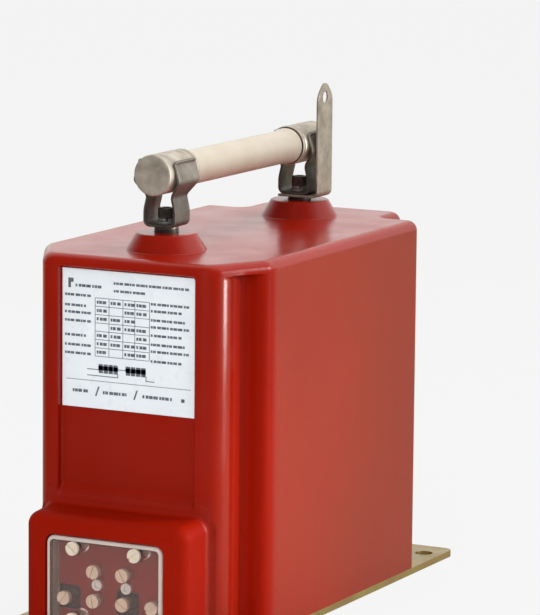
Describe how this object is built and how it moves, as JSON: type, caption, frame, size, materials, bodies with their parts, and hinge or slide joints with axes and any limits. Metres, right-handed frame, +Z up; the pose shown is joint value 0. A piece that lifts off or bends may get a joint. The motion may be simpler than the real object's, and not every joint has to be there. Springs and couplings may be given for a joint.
{
  "type": "medium voltage instrument transformer",
  "caption": "Cast resin voltage transformer on a steel base plate, with a fuse link in spring clips on top, a line terminal bar and a clear-covered terminal box.",
  "frame": {"origin": "middle of the base plate's underside, on the floor", "axes": "+Z up, -Y towards the front with the nameplate and the terminal box, +X to the right seen from the front; the fuse link lies along Y"},
  "size_m": [0.148, 0.32, 0.302],
  "materials": {
    "chromated_steel": "yellow chromated zinc on sheet steel",
    "red_resin": "smooth glossy cast epoxy resin, dark red",
    "nameplate_print": null,
    "clear_cover": "clear polycarbonate moulding",
    "screw_brass": "pale turned brass",
    "insert_brass": "turned brass",
    "bright_steel": "bright zinc-plated steel",
    "nickel_plate": "nickel-plated copper alloy, slightly dull",
    "fuse_ceramic": "cream glazed ceramic"
  },
  "bodies": {
    "root": {"base_plate": "chromated_steel", "resin_body": "red_resin", "nameplate": "nameplate_print", "terminal_cover": "clear_cover", "cover_screw_top_left": "screw_brass", "cover_screw_top_right": "screw_brass", "cover_screw_bottom_left": "screw_brass", "cover_screw_bottom_right": "screw_brass", "terminal_pillar_1": "insert_brass", "terminal_pillar_2": "insert_brass", "terminal_pillar_3": "insert_brass", "terminal_pillar_4": "insert_brass", "terminal_pillar_5": "insert_brass", "terminal_pillar_6": "insert_brass", "terminal_screw_1": "screw_brass", "terminal_screw_2": "screw_brass", "terminal_screw_3": "screw_brass", "terminal_screw_4": "screw_brass", "terminal_screw_5": "screw_brass", "terminal_screw_6": "screw_brass", "earth_screw_left": "bright_steel", "earth_screw_right": "bright_steel", "insert_front": "insert_brass", "insert_rear": "insert_brass", "spacer_front": "nickel_plate", "terminal_bar": "nickel_plate", "clip_front": "nickel_plate", "clip_rear": "nickel_plate", "clip_washer_front": "bright_steel", "clip_washer_rear": "bright_steel", "lock_washer_front": "bright_steel", "lock_washer_rear": "bright_steel", "clip_bolt_front": "bright_steel", "clip_bolt_rear": "bright_steel", "fuse_tube": "fuse_ceramic", "fuse_cap_front": "nickel_plate", "fuse_cap_rear": "nickel_plate", "plate_screw_front_left": "bright_steel", "plate_screw_front_right": "bright_steel", "plate_screw_rear_left": "bright_steel", "plate_screw_rear_right": "bright_steel"}
  },
  "joints": []
}
